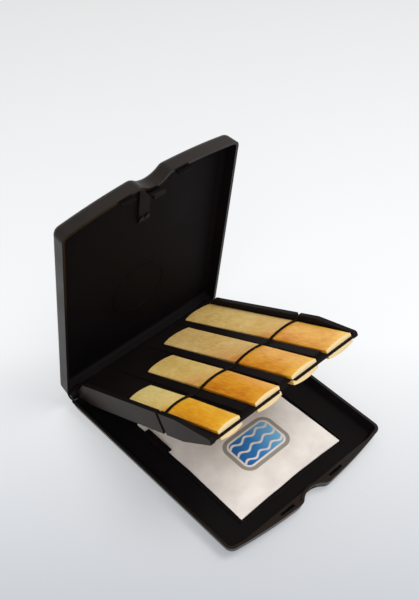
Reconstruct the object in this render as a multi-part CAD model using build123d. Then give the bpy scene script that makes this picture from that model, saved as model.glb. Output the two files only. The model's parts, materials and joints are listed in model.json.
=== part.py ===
from build123d import *
from math import atan2, degrees
import os

# Pocket case for eight woodwind reeds, shown open, in millimetres.
# The origin is the middle of the flat underside. +Z is up, the hinge is at the back (+Y)
# and the thumb scoop is at the front (-Y).
# Each piece is drawn as it lies in the closed case, about the hinge axis, and then turned open.

# Case shells, measured on the closed case
CASE_WIDTH = 100.0
CASE_DEPTH = 118.6
FRONT_BOW = 4.9
BASE_HEIGHT = 7.2
LID_HEIGHT = 8.6
WALL = 1.4
BASE_DRAFT = 2.0
LID_DRAFT = 0.6
CORNER_RADIUS = 4.2
OUTER_EDGE_RADIUS = 3.4
INNER_EDGE_RADIUS = 2.0
SCOOP_RADIUS = 10.0
SCOOP_DEPTH = 4.0

# Opening angles in the rest pose, in degrees above the closed position
TRAY_ANGLE = 28.6
LID_ANGLE = 81.0

# Hinge
KNUCKLE_RADIUS = 2.6
KNUCKLE_CLEARANCE = 0.4
LID_CUT_CLEARANCE = 0.15
KNUCKLE_SIDE_GAP = 0.2
BASE_KNUCKLE_LENGTH = 14.1
TRAY_KNUCKLE_LENGTH = 4.4
LID_EAR_LENGTH = 3.3
PIN_RADIUS = 1.0
PIN_RUNNING_CLEARANCE = 0.05
PIN_GRIP_IN_LID = 6.0
PIN_RECESS = 0.3
NOTCH_DEPTH = 5.0

# Tray
SIDE_ROOM = 5.1
FRONT_ROOM = 2.3
TRAY_LIFT = 1.2
PLATE_THICKNESS = 1.3
PLATE_RISE = 1.5
PLATE_SKIN = 0.9
PLATE_START = 3.5
RAIL_THICKNESS = 2.4
RAIL_HEIGHT = 11.4
RAIL_FRONT_HEIGHT = 2.8
RAIL_END_RADIUS = 1.2
RAIL_FULL_FROM = 12.0
RAIL_TAPER = 23.3
RAIL_ARM_LENGTH = 6.0
DIVIDER_WIDTH = 4.3
DIVIDER_HEIGHT = 1.6
DIVIDER_SETBACK = 3.0
LANE_COUNT = 4
LATCH_NOTCH_WIDTH = 10.0
LATCH_NOTCH_DEPTH = 2.6

# Reeds, from the left lane to the right one: widths as shares of the lane's width, and lengths as
# shares of the longest reed
REED_WIDTH_SHARES = (0.75, 0.88, 0.93, 0.975)
REED_LENGTH_SHARES = (0.644, 0.768, 0.912, 1.0)
REED_THICKNESS = 2.55
REED_EDGE_THICKNESS = 1.5
REED_TIP_THICKNESS = 0.35
REED_HEEL_SETBACK = 0.5
REED_TIP_ROOM = 1.1
HEEL_WIDTH_SHARE = 0.9
TIP_ROUND_SHARE = 0.15

# Retaining band
BAND_INSET = 37.3
BAND_WIDTH = 1.5
BAND_THICKNESS = 0.6
BAND_GAP = 0.2
BAND_GROOVE_WIDTH = 2.4
BAND_GROOVE_DEPTH = 1.2

# Humidity pack and the pocket that holds it
PACK_WIDTH = 66.0
PACK_LENGTH = 75.0
PACK_FRONT_ROOM = 10.2
PACK_CROWN = 2.0
PACK_SEAM = 0.5
PACK_WAIST = 0.7
PACK_CORNER = 1.5
FENCE_GAP = 0.5
FENCE_THICKNESS = 0.9
FENCE_HEIGHT = 0.9
TAB_PLACE = 7.0
TAB_LENGTH = 17.0
TAB_LAP = 2.1
TAB_RISE = 1.1
TAB_THICKNESS = 0.8

# Front ledge of the base, and the lid's hooks that enter its slots
LEDGE_WIDTH = 5.3
LEDGE_DROP = 1.0
LEDGE_THICKNESS = 1.2
SLOT_INNER = 11.8
SLOT_LENGTH = 8.3
SLOT_INSET = 3.9
SLOT_WIDTH = 1.5
HOOK_CLEARANCE = 0.35
HOOK_REACH = 2.0
HOOK_ROOT = 4.0
HOOK_WEB = 1.2
HOOK_WEB_RISE = 0.3

# Straight rib and moulded ring inside the lid
RIB_GAP = 0.9
RIB_SIDE_ROOM = 14.0
RIB_THICKNESS = 0.8
RIB_EDGE = 3.0
RING_PLACE = 43.0
RING_RADIUS = 16.0
RING_WIDTH = 1.0
RING_HEIGHT = 0.3

# Spring latch on the lid: a riveted strip, and a tongue that tips back on a bead at the strip's end
LATCH_WIDTH = 6.4
LATCH_LENGTH = 24.6
LATCH_GAP = 1.8
LATCH_THICKNESS = 1.0
LATCH_REACH = 3.2
BEAD_RADIUS = 0.6
BEAD_CLEARANCE = 0.1
NOSE_LENGTH = 1.6
NOSE_HEIGHT = 1.0
WINDOW_CLEARANCE = 0.5
RIVET_INSET = 3.0
RIVET_SPREAD = 3.4
RIVET_RADIUS = 0.8
RIVET_HEAD_RADIUS = 1.3
RIVET_HEAD_THICKNESS = 0.6
RIVET_HOLE_CLEARANCE = 0.1
RIVET_GRIP = 0.7

# Places that follow from the sizes above
HINGE_Y = CASE_DEPTH / 2
HINGE_Z = BASE_HEIGHT
HALF_WIDTH = CASE_WIDTH / 2
FRONT_REACH = CASE_DEPTH + FRONT_BOW
SCOOP_CENTRE = FRONT_REACH - SCOOP_DEPTH + SCOOP_RADIUS
FLOOR = -(BASE_HEIGHT - WALL)
PANEL = LID_HEIGHT - WALL
TRAY_HALF = HALF_WIDTH - SIDE_ROOM
TRAY_LENGTH = CASE_DEPTH - FRONT_ROOM
RAIL_INSIDE = TRAY_HALF - RAIL_THICKNESS
RAIL_FULL_TO = TRAY_LENGTH - RAIL_TAPER
HALF_PLATE = PLATE_THICKNESS / 2
DIVIDER_TOP = HALF_PLATE + DIVIDER_HEIGHT
PLATE_TILT = degrees(atan2(PLATE_RISE, TRAY_LENGTH - PLATE_START))
LANE_WIDTH = (2 * RAIL_INSIDE - (LANE_COUNT - 1) * DIVIDER_WIDTH) / LANE_COUNT
LANE_PITCH = LANE_WIDTH + DIVIDER_WIDTH
REED_HEEL = TRAY_LENGTH - REED_HEEL_SETBACK
LONGEST_REED = REED_HEEL - PLATE_START - REED_TIP_ROOM
BAND_PLACE = TRAY_LENGTH - BAND_INSET
LEDGE_START = FRONT_REACH - LEDGE_WIDTH
SLOT_PLACE = FRONT_REACH - SLOT_INSET
PACK_START = LEDGE_START - PACK_FRONT_ROOM - PACK_LENGTH
TRAY_KNUCKLE_START = TRAY_HALF - TRAY_KNUCKLE_LENGTH
BASE_KNUCKLE_END = TRAY_KNUCKLE_START - KNUCKLE_SIDE_GAP
BASE_KNUCKLE_START = BASE_KNUCKLE_END - BASE_KNUCKLE_LENGTH
LID_KNUCKLE_HALF = BASE_KNUCKLE_START - KNUCKLE_SIDE_GAP
EAR_START = TRAY_HALF + KNUCKLE_SIDE_GAP
EAR_END = EAR_START + LID_EAR_LENGTH
PIN_START = LID_KNUCKLE_HALF - PIN_GRIP_IN_LID
PIN_END = EAR_END - PIN_RECESS
LATCH_FRONT = FRONT_REACH - SCOOP_DEPTH - WALL - LATCH_GAP
LATCH_START = LATCH_FRONT - LATCH_LENGTH
RIVET_PLACE = LATCH_START + RIVET_INSET
BEAD_PLACE = LATCH_FRONT - LATCH_THICKNESS / 2
BEAD_HEIGHT = PANEL - BEAD_CLEARANCE - BEAD_RADIUS


def block(x_range, s_range, z_range):
    """A box between two places along the hinge, two distances in front of it and two heights."""
    width = x_range[1] - x_range[0]
    depth = s_range[1] - s_range[0]
    height = z_range[1] - z_range[0]
    centre = (sum(x_range) / 2, -sum(s_range) / 2, sum(z_range) / 2)
    return Pos(*centre) * Box(width, depth, height)


def both_sides(piece):
    """The piece and its mirror image across the middle of the case."""
    return piece + mirror(piece, Plane.YZ)


def barrel(start, end, radius):
    """A round bar on the hinge axis between two places along it."""
    return Pos((start + end) / 2, 0, 0) * Rot(0, 90, 0) * Cylinder(radius, end - start)


def plan(inset, radius):
    """The shells' outline, drawn in by inset: straight sides, a bowed front, the scoop, round corners."""
    half = HALF_WIDTH - inset
    back = -inset
    corner = -(CASE_DEPTH - inset)
    front = -(FRONT_REACH - inset)
    sides = Polyline((half, corner), (half, back), (-half, back), (-half, corner))
    bow = ThreePointArc((-half, corner), (0, front), (half, corner))
    face = make_face(sides.edges() + bow.edges())
    face -= Pos(0, -SCOOP_CENTRE) * Circle(SCOOP_RADIUS + inset)
    return fillet(face.vertices(), radius)


def shell(height, draft):
    """A drafted tray with a rounded underside, its rim in the plane of the hinge axis."""
    bottom = Pos(0, 0, -height) * plan(draft, CORNER_RADIUS)
    outer = loft([plan(0, CORNER_RADIUS), bottom], ruled=True)
    outer = fillet(outer.faces().sort_by(Axis.Z)[0].edges(), OUTER_EDGE_RADIUS)
    floor = Pos(0, 0, WALL - height) * plan(WALL + draft, CORNER_RADIUS - WALL)
    inner = loft([plan(WALL, CORNER_RADIUS - WALL), floor], ruled=True)
    inner = fillet(inner.faces().sort_by(Axis.Z)[0].edges(), INNER_EDGE_RADIUS)
    return outer - inner


def cavity(height, draft, top, bottom):
    """The space inside a shell between two heights under its rim."""
    radius = CORNER_RADIUS - WALL
    upper = Pos(0, 0, -top) * plan(WALL + draft * top / height, radius)
    lower = Pos(0, 0, -bottom) * plan(WALL + draft * bottom / height, radius)
    return loft([upper, lower], ruled=True)


def knuckle_room(start, end, clearance=KNUCKLE_CLEARANCE):
    """The space that a neighbour's knuckles need to turn in, on both sides of the case."""
    radius = KNUCKLE_RADIUS + clearance
    return both_sides(barrel(start - KNUCKLE_SIDE_GAP, end + KNUCKLE_SIDE_GAP, radius))


def arm_room(side):
    """The gap in a back wall that the tray's hinge arms pass through; side is 1 up or -1 down."""
    rise = side * (KNUCKLE_RADIUS + KNUCKLE_CLEARANCE)
    x_range = (TRAY_KNUCKLE_START - KNUCKLE_SIDE_GAP, EAR_START)
    return both_sides(block(x_range, (0, NOTCH_DEPTH), sorted((0, rise))))


def pack_fence():
    """Low ribs round the humidity pack, with a tab on each side that laps over its edge."""
    inner = PACK_WIDTH / 2 + FENCE_GAP
    outer = inner + FENCE_THICKNESS
    start = PACK_START - FENCE_GAP
    end = PACK_START + PACK_LENGTH + FENCE_GAP
    low = (FLOOR, FLOOR + FENCE_HEIGHT)
    ring = block((-outer, outer), (start - FENCE_THICKNESS, end + FENCE_THICKNESS), low)
    ring -= block((-inner, inner), (start, end), low)
    tab_start = PACK_START + TAB_PLACE
    tab_span = (tab_start, tab_start + TAB_LENGTH)
    tab_top = FLOOR + TAB_RISE + TAB_THICKNESS
    foot = block((inner, outer), tab_span, (FLOOR, tab_top))
    tab = block((PACK_WIDTH / 2 - TAB_LAP, outer), tab_span, (FLOOR + TAB_RISE, tab_top))
    return ring + both_sides(foot + tab)


def front_ledge():
    """The flat ledge behind the bowed front edge."""
    ledge = cavity(BASE_HEIGHT, BASE_DRAFT, LEDGE_DROP, LEDGE_DROP + LEDGE_THICKNESS)
    keep = block((-HALF_WIDTH, HALF_WIDTH), (LEDGE_START, FRONT_REACH), (FLOOR, 0))
    return ledge & keep


def hook_slots():
    """The room for the lid's hooks, in the ledge and in the face of the front wall."""
    slot_x = (SLOT_INNER, SLOT_INNER + SLOT_LENGTH)
    slot_span = (SLOT_PLACE, SLOT_PLACE + SLOT_WIDTH)
    return both_sides(block(slot_x, slot_span, (-HOOK_REACH - HOOK_CLEARANCE, 0)))


def latch_window():
    """The hole in the scoop's wall that the latch's nose snaps into."""
    half = LATCH_WIDTH / 2 + WINDOW_CLEARANCE
    z_range = (-LATCH_REACH - WINDOW_CLEARANCE, NOSE_HEIGHT - LATCH_REACH + WINDOW_CLEARANCE)
    return block((-half, half), (LATCH_FRONT, LATCH_FRONT + SCOOP_DEPTH), z_range)


def base_shell():
    """The lower shell with its hinge knuckles, pack pocket, front ledge and latch window."""
    body = shell(BASE_HEIGHT, BASE_DRAFT)
    body -= barrel(-BASE_KNUCKLE_START, BASE_KNUCKLE_START, KNUCKLE_RADIUS + KNUCKLE_CLEARANCE)
    body -= knuckle_room(TRAY_KNUCKLE_START, HALF_WIDTH)
    body -= arm_room(-1)
    body += both_sides(barrel(BASE_KNUCKLE_START, BASE_KNUCKLE_END, KNUCKLE_RADIUS))
    body -= both_sides(barrel(PIN_START, PIN_END, PIN_RADIUS))
    body += pack_fence()
    body += front_ledge()
    return body - hook_slots() - latch_window()


def lid_hooks():
    """Two thin hooks that drop into the slots of the base's ledge."""
    x_range = (SLOT_INNER + HOOK_CLEARANCE, SLOT_INNER + SLOT_LENGTH - HOOK_CLEARANCE)
    start = SLOT_PLACE + HOOK_CLEARANCE
    end = SLOT_PLACE + SLOT_WIDTH - HOOK_CLEARANCE
    blade = block(x_range, (start, end), (-HOOK_REACH, HOOK_ROOT))
    web = block(x_range, (start, end + HOOK_WEB), (HOOK_WEB_RISE, HOOK_ROOT))
    return both_sides(blade + web)


def lid_rib():
    """The straight rib across the lid, in front of the tray, open in the middle for the latch."""
    x_range = (LATCH_WIDTH / 2 + WINDOW_CLEARANCE, HALF_WIDTH - RIB_SIDE_ROOM)
    start = TRAY_LENGTH + RIB_GAP
    return both_sides(block(x_range, (start, start + RIB_THICKNESS), (RIB_EDGE, PANEL)))


def panel_ring():
    """The faint round moulding on the inside of the lid's panel."""
    ring = Cylinder(RING_RADIUS, RING_HEIGHT) - Cylinder(RING_RADIUS - RING_WIDTH, RING_HEIGHT)
    return Pos(0, -RING_PLACE, PANEL - RING_HEIGHT / 2) * ring


def rivet_bars(radius, z_range):
    """Upright bars at the two rivet places."""
    height = z_range[1] - z_range[0]
    bar = Pos(RIVET_SPREAD / 2, -RIVET_PLACE, sum(z_range) / 2) * Cylinder(radius, height)
    return both_sides(bar)


def lid_shell():
    """The upper shell with its hinge knuckles, hooks, rib and ring."""
    body = mirror(shell(LID_HEIGHT, LID_DRAFT), Plane.XY)
    body -= knuckle_room(BASE_KNUCKLE_START, BASE_KNUCKLE_END, LID_CUT_CLEARANCE)
    body -= knuckle_room(TRAY_KNUCKLE_START, TRAY_HALF)
    body -= arm_room(1)
    body += barrel(-LID_KNUCKLE_HALF, LID_KNUCKLE_HALF, KNUCKLE_RADIUS)
    body += both_sides(barrel(EAR_START, EAR_END, KNUCKLE_RADIUS))
    body -= both_sides(barrel(PIN_START, EAR_END, PIN_RADIUS + PIN_RUNNING_CLEARANCE))
    body += lid_hooks()
    body += lid_rib()
    body += panel_ring()
    return body - rivet_bars(RIVET_RADIUS, (PANEL, PANEL + RIVET_GRIP))


def rail_profile():
    """The side rail's outline: full height in the middle, tapered to the hinge and to its round end."""
    top = TRAY_LIFT + RAIL_HEIGHT / 2
    bottom = TRAY_LIFT - RAIL_HEIGHT / 2
    front_top = TRAY_LIFT + RAIL_FRONT_HEIGHT / 2
    front_bottom = TRAY_LIFT - RAIL_FRONT_HEIGHT / 2
    points = [
        (0, KNUCKLE_RADIUS),
        (-NOTCH_DEPTH, KNUCKLE_RADIUS),
        (-RAIL_FULL_FROM, top),
        (-RAIL_FULL_TO, top),
        (-TRAY_LENGTH, front_top),
        (-TRAY_LENGTH, front_bottom),
        (-RAIL_FULL_TO, bottom),
        (-RAIL_FULL_FROM, bottom),
        (-NOTCH_DEPTH, -KNUCKLE_RADIUS),
        (0, -KNUCKLE_RADIUS),
    ]
    profile = make_face(Polyline(*points, close=True).edges())
    return fillet(profile.vertices().sort_by(Axis.X)[:2], RAIL_END_RADIUS)


def band_groove():
    """The cut that lets the band cross a side rail low down and lie flush in its outer face."""
    span = (BAND_PLACE - BAND_GROOVE_WIDTH / 2, BAND_PLACE + BAND_GROOVE_WIDTH / 2)
    low = TRAY_LIFT - DIVIDER_TOP
    high = TRAY_LIFT + DIVIDER_TOP
    x_range = (RAIL_INSIDE, TRAY_HALF)
    above = block(x_range, span, (high, TRAY_LIFT + RAIL_HEIGHT))
    below = block(x_range, span, (TRAY_LIFT - RAIL_HEIGHT, low))
    outside = block((TRAY_HALF - BAND_GROOVE_DEPTH, TRAY_HALF), span, (low, high))
    return above + below + outside


def tray_side():
    """One side rail with its hinge knuckle and the groove for the band."""
    rail = extrude(Plane.YZ * rail_profile(), RAIL_THICKNESS)
    side = Pos(RAIL_INSIDE, 0, 0) * rail
    side += barrel(TRAY_KNUCKLE_START, TRAY_HALF, KNUCKLE_RADIUS)
    arm = block((TRAY_KNUCKLE_START, TRAY_HALF), (0, RAIL_ARM_LENGTH), (-KNUCKLE_RADIUS, KNUCKLE_RADIUS))
    side += arm
    side -= barrel(TRAY_KNUCKLE_START, TRAY_HALF, PIN_RADIUS + PIN_RUNNING_CLEARANCE)
    return side - band_groove()


def tray_plate():
    """The plate under the lanes: two skins that part towards the hinge, where the reeds are thin."""
    back = HALF_PLATE + PLATE_RISE
    outline = [(-PLATE_START, back), (-PLATE_START, -back), (-TRAY_LENGTH, -HALF_PLATE), (-TRAY_LENGTH, HALF_PLATE)]
    hollow = back - PLATE_SKIN
    hollow_end = PLATE_START + (TRAY_LENGTH - PLATE_START) * hollow / PLATE_RISE
    core = [(-PLATE_START, hollow), (-PLATE_START, -hollow), (-hollow_end, 0)]
    plate, inside = (make_face(Polyline(*points, close=True).edges()) for points in (outline, core))
    return Pos(0, 0, TRAY_LIFT) * extrude(Plane.YZ * (plate - inside), RAIL_INSIDE, both=True)


def tray_frame():
    """The plate that carries the reeds on both faces, with its rails and lane dividers."""
    frame = tray_plate()
    span = (PLATE_START, TRAY_LENGTH - DIVIDER_SETBACK)
    heights = (TRAY_LIFT - DIVIDER_TOP, TRAY_LIFT + DIVIDER_TOP)
    side = DIVIDER_WIDTH / 2
    for number in range(1, LANE_COUNT):
        x = -RAIL_INSIDE + number * LANE_PITCH - side
        frame += block((x - side, x + side), span, heights)
    frame += both_sides(tray_side())
    notch = (TRAY_LENGTH - LATCH_NOTCH_DEPTH, TRAY_LENGTH)
    half_notch = LATCH_NOTCH_WIDTH / 2
    return frame - block((-half_notch, half_notch), notch, heights)


def lane_centre(lane):
    """The middle of a lane, counted from the left."""
    return -RAIL_INSIDE + LANE_WIDTH / 2 + lane * LANE_PITCH


def reed_section(width, grow):
    """A reed's round-backed cross-section on its flat face, made larger all round by grow."""
    half = width / 2 + grow
    edge = REED_EDGE_THICKNESS + grow
    sides = Polyline((half, edge), (half, 0), (-half, 0), (-half, edge))
    back = ThreePointArc((-half, edge), (0, REED_THICKNESS + grow), (half, edge))
    return make_face(sides.edges() + back.edges())


def reed(width, length):
    """A reed on its flat face, heel at the front, with the vamp sloping down to a thin round tip."""
    tip = REED_HEEL - length
    shoulder = tip + width * TIP_ROUND_SHARE
    half = width / 2
    heel_half = half * HEEL_WIDTH_SHARE
    sides = Polyline((half, -shoulder), (heel_half, -REED_HEEL), (-heel_half, -REED_HEEL), (-half, -shoulder))
    tip_arc = ThreePointArc((-half, -shoulder), (0, -tip), (half, -shoulder))
    outline = extrude(make_face(sides.edges() + tip_arc.edges()), REED_THICKNESS)
    section = extrude(Plane.XZ * reed_section(width, 0), REED_HEEL)
    bark_edge = BAND_PLACE - BAND_WIDTH / 2
    slope = Polyline(
        (-tip, 0),
        (-tip, REED_TIP_THICKNESS),
        (-bark_edge, REED_THICKNESS),
        (-REED_HEEL, REED_THICKNESS),
        (-REED_HEEL, 0),
        close=True,
    )
    profile = extrude(Plane.YZ * make_face(slope.edges()), width / 2, both=True)
    return outline & section & profile


def on_tray(piece, face):
    """A piece drawn on z = 0, laid on the upper (1) or the lower (-1) face of the tray's plate."""
    seated = Pos(0, -TRAY_LENGTH, HALF_PLATE) * Rot(PLATE_TILT, 0, 0) * Pos(0, TRAY_LENGTH, 0) * piece
    if face < 0:
        seated = mirror(seated, Plane.XY)
    return Pos(0, 0, TRAY_LIFT) * seated


def band_area(grow):
    """The cross-section inside a line laid round the tray and its reeds, at a distance of grow."""
    half = TRAY_HALF - BAND_GROOVE_DEPTH + grow
    area = Rectangle(2 * half, 2 * (DIVIDER_TOP + grow))
    seat = HALF_PLATE + PLATE_RISE * BAND_INSET / (TRAY_LENGTH - PLATE_START)
    for lane, share in enumerate(REED_WIDTH_SHARES):
        section = Pos(lane_centre(lane), seat) * reed_section(LANE_WIDTH * share, grow)
        area += section + mirror(section, Plane.XZ)
    return area


def retaining_band():
    """One elastic loop round the tray, over the backs of the upper and the lower reeds."""
    loop = band_area(BAND_GAP + BAND_THICKNESS) - band_area(BAND_GAP)
    band = extrude(Plane.XZ * loop, BAND_WIDTH / 2, both=True)
    return Pos(0, -BAND_PLACE, TRAY_LIFT) * band


def crown(width, length):
    """A vault over a strip: flat below, arched from its edges to the middle above."""
    sides = Polyline((width / 2, PACK_SEAM), (width / 2, 0), (-width / 2, 0), (-width / 2, PACK_SEAM))
    arch = ThreePointArc((-width / 2, PACK_SEAM), (0, PACK_CROWN), (width / 2, PACK_SEAM))
    return extrude(Plane.XZ * make_face(sides.edges() + arch.edges()), length / 2, both=True)


def humidity_pack():
    """The soft pouch: crowned both ways, with thin edges that draw in between the corners."""
    half_x = PACK_WIDTH / 2
    half_y = PACK_LENGTH / 2
    edges = [
        ThreePointArc((-half_x, -half_y), (0, PACK_WAIST - half_y), (half_x, -half_y)),
        ThreePointArc((half_x, -half_y), (half_x - PACK_WAIST, 0), (half_x, half_y)),
        ThreePointArc((half_x, half_y), (0, half_y - PACK_WAIST), (-half_x, half_y)),
        ThreePointArc((-half_x, half_y), (PACK_WAIST - half_x, 0), (-half_x, -half_y)),
    ]
    outline = make_face(edges)
    outline = fillet(outline.vertices(), PACK_CORNER)
    across = crown(PACK_WIDTH, PACK_LENGTH)
    along = Rot(0, 0, 90) * crown(PACK_LENGTH, PACK_WIDTH)
    pouch = extrude(outline, PACK_CROWN) & across & along
    return Pos(0, -(PACK_START + half_y), FLOOR) * pouch


def latch_spring():
    """The springy strip under the lid's panel, which carries the tongue at its front end."""
    half = LATCH_WIDTH / 2
    end = BEAD_PLACE - BEAD_RADIUS - BEAD_CLEARANCE
    heights = (PANEL - LATCH_THICKNESS, PANEL)
    strip = block((-half, half), (LATCH_START, end), heights)
    return strip - rivet_bars(RIVET_RADIUS + RIVET_HOLE_CLEARANCE, heights)


def latch_tongue():
    """The tongue behind the scoop: a round bead at the top, a leg, and a nose that enters the window."""
    half = LATCH_WIDTH / 2
    bead = Pos(0, -BEAD_PLACE, BEAD_HEIGHT) * Rot(0, 90, 0) * Cylinder(BEAD_RADIUS, LATCH_WIDTH)
    leg = block((-half, half), (LATCH_FRONT - LATCH_THICKNESS, LATCH_FRONT), (-LATCH_REACH, BEAD_HEIGHT))
    nose_span = (LATCH_FRONT, LATCH_FRONT + NOSE_LENGTH)
    nose = block((-half, half), nose_span, (-LATCH_REACH, NOSE_HEIGHT - LATCH_REACH))
    return bead + leg + nose


def spring_rivets():
    """Two rivets that hold the latch's strip to the lid's panel."""
    head_top = PANEL - LATCH_THICKNESS
    shanks = rivet_bars(RIVET_RADIUS, (head_top, PANEL + RIVET_GRIP))
    return shanks + rivet_bars(RIVET_HEAD_RADIUS, (head_top - RIVET_HEAD_THICKNESS, head_top))


def hinge_pin():
    """The right-hand steel pin, pressed into the base's knuckle."""
    return barrel(PIN_START, PIN_END, PIN_RADIUS)


def opened(piece, angle):
    """A piece of the closed case, turned up about the hinge axis and set on the hinge."""
    return Pos(0, HINGE_Y, HINGE_Z) * Rot(-angle, 0, 0) * piece


pieces = {
    "base_shell": opened(base_shell(), 0),
    "hinge_pin_right": opened(hinge_pin(), 0),
    "hinge_pin_left": opened(mirror(hinge_pin(), Plane.YZ), 0),
    "humidity_pack": opened(humidity_pack(), 0),
    "tray_frame": opened(tray_frame(), TRAY_ANGLE),
    "retaining_band": opened(retaining_band(), TRAY_ANGLE),
    "lid_shell": opened(lid_shell(), LID_ANGLE),
    "latch_spring": opened(latch_spring(), LID_ANGLE),
    "spring_rivets": opened(spring_rivets(), LID_ANGLE),
    "latch_tongue": opened(latch_tongue(), LID_ANGLE),
}
for lane, (width_share, length_share) in enumerate(zip(REED_WIDTH_SHARES, REED_LENGTH_SHARES)):
    blank = Pos(lane_centre(lane), 0, 0) * reed(LANE_WIDTH * width_share, LONGEST_REED * length_share)
    pieces[f"upper_reed_{lane + 1}"] = opened(on_tray(blank, 1), TRAY_ANGLE)
    pieces[f"lower_reed_{lane + 1}"] = opened(on_tray(blank, -1), TRAY_ANGLE)

os.makedirs("parts", exist_ok=True)
for name, piece in pieces.items():
    export_step(piece, f"parts/{name}.step")
    print(name, round(piece.volume, 2))
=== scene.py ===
"""Looks of an open pocket case for eight woodwind reeds: shells, tray, reeds, band, pouch, latch."""

import json
import logging
from abc import ABC, abstractmethod
from collections.abc import Callable, Iterable, Mapping
from dataclasses import dataclass
from enum import Enum
from functools import partial
from math import atan2, cos, pi, radians, sin, sqrt
from typing import ClassVar

import bpy
from mathutils import Matrix, Vector

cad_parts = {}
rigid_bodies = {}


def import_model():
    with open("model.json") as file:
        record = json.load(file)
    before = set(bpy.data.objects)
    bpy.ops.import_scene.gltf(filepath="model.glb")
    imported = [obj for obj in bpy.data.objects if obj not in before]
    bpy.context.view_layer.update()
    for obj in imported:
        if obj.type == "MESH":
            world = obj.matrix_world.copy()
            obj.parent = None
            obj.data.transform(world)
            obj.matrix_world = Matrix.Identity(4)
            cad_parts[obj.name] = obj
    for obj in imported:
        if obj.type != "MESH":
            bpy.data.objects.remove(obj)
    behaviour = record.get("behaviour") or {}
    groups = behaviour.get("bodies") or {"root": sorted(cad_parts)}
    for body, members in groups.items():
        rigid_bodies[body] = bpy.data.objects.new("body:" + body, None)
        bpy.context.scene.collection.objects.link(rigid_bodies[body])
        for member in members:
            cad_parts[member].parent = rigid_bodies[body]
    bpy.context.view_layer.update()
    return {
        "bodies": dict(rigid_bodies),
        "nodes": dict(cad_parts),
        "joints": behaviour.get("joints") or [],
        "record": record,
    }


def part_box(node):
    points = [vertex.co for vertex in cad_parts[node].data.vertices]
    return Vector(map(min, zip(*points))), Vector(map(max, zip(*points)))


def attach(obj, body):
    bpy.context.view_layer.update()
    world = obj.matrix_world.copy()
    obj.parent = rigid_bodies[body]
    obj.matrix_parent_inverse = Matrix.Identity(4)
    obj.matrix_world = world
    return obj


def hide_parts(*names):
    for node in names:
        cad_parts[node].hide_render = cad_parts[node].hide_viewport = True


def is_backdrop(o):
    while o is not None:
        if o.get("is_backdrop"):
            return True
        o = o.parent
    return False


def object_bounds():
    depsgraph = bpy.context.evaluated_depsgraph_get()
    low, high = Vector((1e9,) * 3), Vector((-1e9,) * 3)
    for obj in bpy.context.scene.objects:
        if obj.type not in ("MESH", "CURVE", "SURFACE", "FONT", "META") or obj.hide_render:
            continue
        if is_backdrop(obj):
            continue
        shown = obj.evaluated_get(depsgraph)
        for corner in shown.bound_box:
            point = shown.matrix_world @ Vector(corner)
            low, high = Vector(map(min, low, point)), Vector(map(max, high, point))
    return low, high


log = logging.getLogger("reed_case")
MM = 0.001

# For a copied mesh: how close loose corners are joined, and in degrees, how flat joined faces are, from
# which angle an edge is rounded, and up to which angle it is shaded smooth
JOIN_WITHIN = 0.0005 * MM
FLAT_WITHIN = 0.5
SHARP_FROM = 40.0
SMOOTH_TO = 30.0

Colour = tuple[float, float, float, float]
Point = tuple[float, float, float]
Material = bpy.types.Material
Outputs = bpy.types.bpy_prop_collection
Piece = bpy.types.Object
Socket = bpy.types.NodeSocket
Tree = bpy.types.NodeTree
Adder = Callable[..., Outputs]


def linear(hex_colour: str) -> Colour:
    """Turns a colour written as sRGB hex into linear values with full opacity.

    Args:
        hex_colour: Six hex digits with a leading mark, as "#1a1a1a".

    Returns:
        Red, green, blue and alpha from 0 to 1.
    """
    channels = [int(hex_colour[i:i + 2], 16) / 255 for i in (1, 3, 5)]
    red, green, blue = (c / 12.92 if c <= 0.04045 else ((c + 0.055) / 1.055) ** 2.4 for c in channels)
    return red, green, blue, 1.0


def add_node(
    tree: Tree,
    kind: str,
    inputs: Mapping | None = None,
    stops: Mapping[float, str] | None = None,
    **settings: str,
) -> Outputs:
    """Adds a shader node with its settings, values and links.

    Args:
        tree: The material's or world's node tree.
        kind: The node's type name, without its leading "ShaderNode".
        inputs: Values or output sockets by input name or number.
        stops: A colour ramp's sRGB hex colours by place from 0 to 1, in rising order.
        settings: Properties of the node itself.

    Returns:
        The new node's outputs.
    """
    node = tree.nodes.new(f"ShaderNode{kind}")
    for name, value in settings.items():
        setattr(node, name, value)
    for key, value in (inputs or {}).items():
        if isinstance(value, Socket):
            tree.links.new(value, node.inputs[key])
        else:
            node.inputs[key].default_value = value
    if stops:
        elements = node.color_ramp.elements
        while len(elements) < len(stops):
            elements.new(0.5)
        for element, (place, hex_colour) in zip(elements, stops.items()):
            element.position = place
            element.color = linear(hex_colour)
    return node.outputs


def new_material(name: str) -> tuple[Material, Adder]:
    """Makes an empty node material.

    Args:
        name: The finish's name.

    Returns:
        The material, and what adds a node to it.
    """
    material = bpy.data.materials.new(name)
    material.use_nodes = True
    material.node_tree.nodes.clear()
    return material, partial(add_node, material.node_tree)


class Opening(Enum):
    """Which part of the case a piece turns with."""

    BASE = "base"
    TRAY = "tray"
    LID = "lid"


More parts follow.
